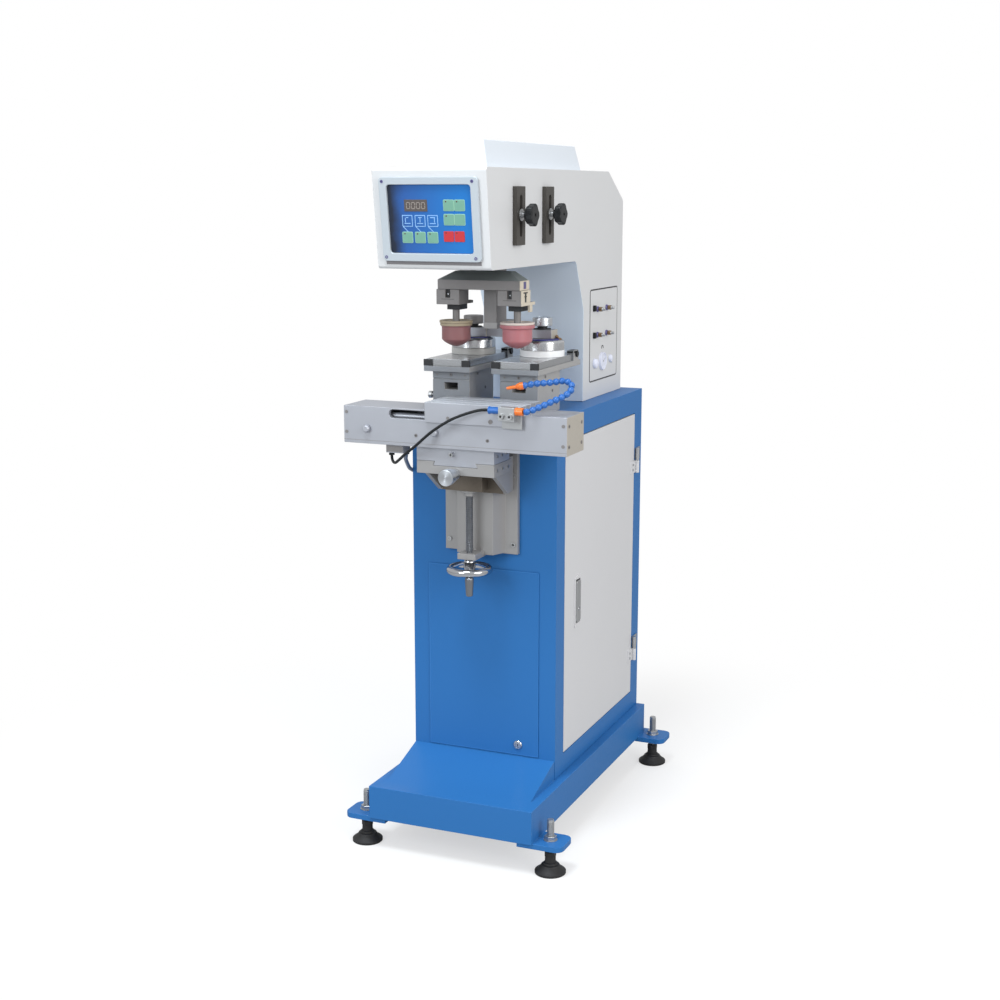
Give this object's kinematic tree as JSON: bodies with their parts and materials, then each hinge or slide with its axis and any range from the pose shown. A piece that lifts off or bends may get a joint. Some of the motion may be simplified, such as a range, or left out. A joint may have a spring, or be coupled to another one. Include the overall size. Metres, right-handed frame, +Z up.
{
  "type": "pad printing machine",
  "caption": "Free-standing pad printer: cabinet stand, arched head, closed ink cups over etched plates, silicone pads and a sliding shuttle table on a knee",
  "frame": {"origin": "centre of the machine's bounding box at floor level, under the levelling feet", "axes": "+Z up, +X to the operator's right, +Y from the operator to the back"},
  "size_m": [0.512, 0.8709, 1.5178],
  "materials": {
    "blue_paint": "semi-gloss blue powder coat",
    "white_paint": "semi-gloss off-white powder coat",
    "grey_paint": "semi-gloss light grey powder coat",
    "steel": "ground steel",
    "dark_steel": "dark machined steel",
    "chromed": "polished chrome",
    "zinc": "zinc plated, dull",
    "aluminium": "brushed and clear anodised",
    "black_plastic": "fine matte",
    "rubber": "matte",
    "silicone_left": "smooth silicone",
    "silicone_right": "smooth silicone",
    "ceramic": "polished ceramic",
    "cream": "matte",
    "film": "gloss keypad film",
    "hose_blue": "moulded plastic"
  },
  "bodies": {
    "stand": {"base_frame": "blue_paint", "cabinet_shell": "blue_paint", "front_service_panel": "blue_paint", "door_hinge_upper": "zinc", "door_hinge_lower": "zinc", "head_housing": "white_paint", "head_top_cover": "white_paint", "panel_bezel": "white_paint", "keypad_overlay": "film", "stop_bar_front": "dark_steel", "stop_bar_rear": "dark_steel", "traverse_rails": "steel", "cliche_plate_left": "steel", "cliche_plate_right": "steel", "plate_stand_left": "aluminium", "plate_stand_right": "aluminium", "z_slide_plate": "steel"},
    "side_door": {"side_door": "grey_paint"},
    "door_handle": {"door_handle": "zinc"},
    "panel_lock": {"front_panel_lock": "chromed"},
    "traverse": {"traverse_carriage": "aluminium", "cup_arm": "steel", "ink_cup_left": "chromed", "ink_cup_right": "chromed", "cup_ring_left": "ceramic", "cup_ring_right": "ceramic"},
    "cup_knob_left": {"cup_knob_left": "chromed"},
    "cup_knob_right": {"cup_knob_right": "chromed"},
    "pad_ram": {"pad_beam": "dark_steel"},
    "pad_unit_left": {"pad_holder_left": "dark_steel", "pad_stem_left": "cream", "silicone_pad_left": "silicone_left"},
    "pad_unit_right": {"pad_holder_right": "dark_steel", "pad_stem_right": "cream", "silicone_pad_right": "silicone_right"},
    "knee": {"knee_bracket": "steel"},
    "lift_screw": {"lead_screw": "dark_steel", "handwheel": "chromed"},
    "wheel_handle": {"wheel_handle": "steel"},
    "cross_slide": {"dovetail_slide": "steel", "shuttle_housing": "aluminium", "air_tube": "black_plastic"},
    "cross_slide_knob": {"cross_slide_knob": "aluminium"},
    "shuttle": {"shuttle_carriage": "aluminium", "air_manifold": "aluminium"},
    "hose_lower": {"air_hose_lower": "hose_blue"},
    "hose_upper": {"air_hose_upper": "hose_blue"},
    "regulator_knob": {"regulator_knob": "white_paint"},
    "stop_stud_front": {"stop_stud_front": "zinc"},
    "stop_knob_front": {"stop_knob_front": "black_plastic"},
    "stop_stud_rear": {"stop_stud_rear": "zinc"},
    "stop_knob_rear": {"stop_knob_rear": "black_plastic"},
    "flow_valve_1": {"flow_valve_1": "zinc"},
    "flow_valve_2": {"flow_valve_2": "zinc"},
    "flow_valve_3": {"flow_valve_3": "zinc"},
    "flow_valve_4": {"flow_valve_4": "zinc"},
    "foot_front_left": {"levelling_foot_front_left": "rubber"},
    "foot_front_right": {"levelling_foot_front_right": "rubber"},
    "foot_rear_left": {"levelling_foot_rear_left": "rubber"},
    "foot_rear_right": {"levelling_foot_rear_right": "rubber"}
  },
  "joints": [
    {"name": "side_door_hinge", "type": "hinge", "parent": "stand", "child": "side_door", "pos_m": [0.1765, 0.36462, 0.5419], "axis": [0, 0, 1], "range_deg": [0, 110]},
    {"name": "door_handle_pull", "type": "hinge", "parent": "side_door", "child": "door_handle", "pos_m": [0.169, -0.03238, 0.565], "axis": [0, -1, 0], "range_deg": [0, 40], "stiffness_Nm_per_rad": 0.4, "springref_deg": -11.46},
    {"name": "panel_lock_turn", "type": "hinge", "parent": "stand", "child": "panel_lock", "pos_m": [0.083, -0.16698, 0.216], "axis": [0, 1, 0], "range_deg": [0, 90]},
    {"name": "foot_turn_front_left", "type": "hinge", "parent": "stand", "child": "foot_front_left", "pos_m": [-0.218, -0.31338, 0.06], "axis": [0, 0, 1], "range_deg": [-1440, 1440]},
    {"name": "foot_turn_front_right", "type": "hinge", "parent": "stand", "child": "foot_front_right", "pos_m": [0.218, -0.31338, 0.06], "axis": [0, 0, 1], "range_deg": [-1440, 1440]},
    {"name": "foot_turn_rear_left", "type": "hinge", "parent": "stand", "child": "foot_rear_left", "pos_m": [-0.218, 0.39962, 0.06], "axis": [0, 0, 1], "range_deg": [-1440, 1440]},
    {"name": "foot_turn_rear_right", "type": "hinge", "parent": "stand", "child": "foot_rear_right", "pos_m": [0.218, 0.39962, 0.06], "axis": [0, 0, 1], "range_deg": [-1440, 1440]},
    {"name": "pad_traverse", "type": "slide", "parent": "stand", "child": "traverse", "axis": [0, 1, 0], "range_m": [-0.1, 0]},
    {"name": "pad_stroke", "type": "slide", "parent": "traverse", "child": "pad_ram", "axis": [0, 0, 1], "range_m": [-0.0245, 0]},
    {"name": "pad_adjust_left", "type": "slide", "parent": "pad_ram", "child": "pad_unit_left", "axis": [1, 0, 0], "range_m": [-0.006, 0.006]},
    {"name": "pad_adjust_right", "type": "slide", "parent": "pad_ram", "child": "pad_unit_right", "axis": [1, 0, 0], "range_m": [-0.006, 0.006]},
    {"name": "cup_knob_turn_left", "type": "hinge", "parent": "traverse", "child": "cup_knob_left", "pos_m": [-0.082, -0.02938, 1.13], "axis": [0, 0, 1], "range_deg": [-720, 720]},
    {"name": "cup_knob_turn_right", "type": "hinge", "parent": "traverse", "child": "cup_knob_right", "pos_m": [0.082, -0.02938, 1.13], "axis": [0, 0, 1], "range_deg": [-720, 720]},
    {"name": "knee_lift", "type": "slide", "parent": "stand", "child": "knee", "axis": [0, 0, 1], "range_m": [-0.06, 0.015]},
    {"name": "handwheel_turn", "type": "hinge", "parent": "stand", "child": "lift_screw", "pos_m": [0, -0.23938, 0.624], "axis": [0, 0, 1], "range_deg": [-1354, 5404]},
    {"name": "wheel_handle_spin", "type": "hinge", "parent": "lift_screw", "child": "wheel_handle", "pos_m": [0.01688, -0.27838, 0.6], "axis": [0, 0, 1], "continuous": true},
    {"name": "cross_travel", "type": "slide", "parent": "knee", "child": "cross_slide", "axis": [0, 1, 0], "range_m": [-0.015, 0.012]},
    {"name": "cross_knob_turn", "type": "hinge", "parent": "knee", "child": "cross_slide_knob", "pos_m": [0, -0.34438, 0.842], "axis": [0, 1, 0], "range_deg": [-2884, 3604]},
    {"name": "shuttle_travel", "type": "slide", "parent": "cross_slide", "child": "shuttle", "axis": [1, 0, 0], "range_m": [-0.142, 0], "deforming": ["air_tube"]},
    {"name": "hose_swing_lower", "type": "hinge", "parent": "shuttle", "child": "hose_lower", "pos_m": [0.16645, -0.34538, 0.9856], "axis": [0, 0, 1], "range_deg": [-6, 6]},
    {"name": "hose_swing_upper", "type": "hinge", "parent": "hose_lower", "child": "hose_upper", "pos_m": [0.24249, -0.27426, 1.02968], "axis": [0, 0, 1], "range_deg": [-6, 6]},
    {"name": "stop_slide_front", "type": "slide", "parent": "stand", "child": "stop_stud_front", "axis": [0, 0, 1], "range_m": [-0.036, 0.033]},
    {"name": "stop_knob_turn_front", "type": "hinge", "parent": "stop_stud_front", "child": "stop_knob_front", "pos_m": [0.15, -0.27563, 1.3713], "axis": [1, 0, 0], "range_deg": [-360, 360]},
    {"name": "stop_slide_rear", "type": "slide", "parent": "stand", "child": "stop_stud_rear", "axis": [0, 0, 1], "range_m": [-0.036, 0.033]},
    {"name": "stop_knob_turn_rear", "type": "hinge", "parent": "stop_stud_rear", "child": "stop_knob_rear", "pos_m": [0.15, -0.11563, 1.3713], "axis": [1, 0, 0], "range_deg": [-360, 360]},
    {"name": "flow_valve_turn_1", "type": "hinge", "parent": "stand", "child": "flow_valve_1", "pos_m": [0.13, 0.21062, 1.152], "axis": [1, 0, 0], "range_deg": [0, 1800]},
    {"name": "flow_valve_turn_2", "type": "hinge", "parent": "stand", "child": "flow_valve_2", "pos_m": [0.13, 0.27362, 1.152], "axis": [1, 0, 0], "range_deg": [0, 1800]},
    {"name": "flow_valve_turn_3", "type": "hinge", "parent": "stand", "child": "flow_valve_3", "pos_m": [0.13, 0.21062, 1.093], "axis": [1, 0, 0], "range_deg": [0, 1800]},
    {"name": "flow_valve_turn_4", "type": "hinge", "parent": "stand", "child": "flow_valve_4", "pos_m": [0.13, 0.27362, 1.093], "axis": [1, 0, 0], "range_deg": [0, 1800]},
    {"name": "regulator_turn", "type": "hinge", "parent": "stand", "child": "regulator_knob", "pos_m": [0.128, 0.19402, 1.0281], "axis": [1, 0, 0], "range_deg": [-720, 720]}
  ],
  "couplings": [
    {"joint": "handwheel_turn", "follows": "knee_lift", "rad_per_m": -1570.8},
    {"joint": "cross_knob_turn", "follows": "cross_travel", "rad_per_m": -4188.8}
  ]
}
